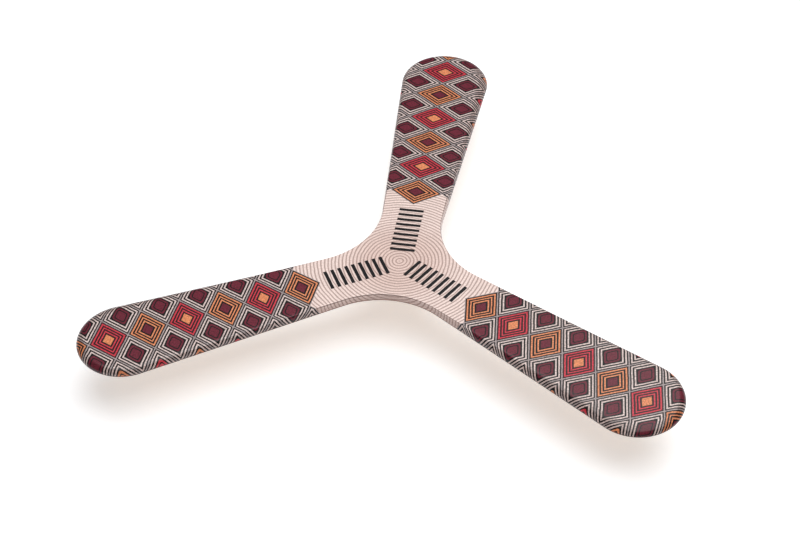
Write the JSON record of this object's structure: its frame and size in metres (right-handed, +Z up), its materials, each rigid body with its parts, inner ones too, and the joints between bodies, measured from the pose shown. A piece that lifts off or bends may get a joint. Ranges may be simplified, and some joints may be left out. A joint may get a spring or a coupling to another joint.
{
  "type": "boomerang",
  "caption": "Flat throwing boomerang with equal round-ended blades around a central hub, shaped edges and a patterned top skin.",
  "frame": {"origin": "hub centre on the flat underside, which is the face it lies on", "axes": "+Z up through the hub, from the flat underside to the patterned top; one blade lies along +Y and the others at 120 degrees either side of it"},
  "size_m": [0.2836, 0.2517, 0.0041],
  "materials": {
    "face_veneer": "clear lacquered birch",
    "cross_veneer": "birch veneer, grain across",
    "long_veneer": "birch veneer, grain lengthways",
    "printed_skin": "printed pattern under a clear satin-gloss coat"
  },
  "bodies": {
    "root": {"ply_1": "face_veneer", "ply_2": "cross_veneer", "ply_3": "long_veneer", "ply_4": "cross_veneer", "ply_5": "long_veneer", "ply_6": "cross_veneer", "ply_7": "long_veneer", "ply_8": "cross_veneer", "printed_film": "printed_skin"}
  },
  "joints": []
}
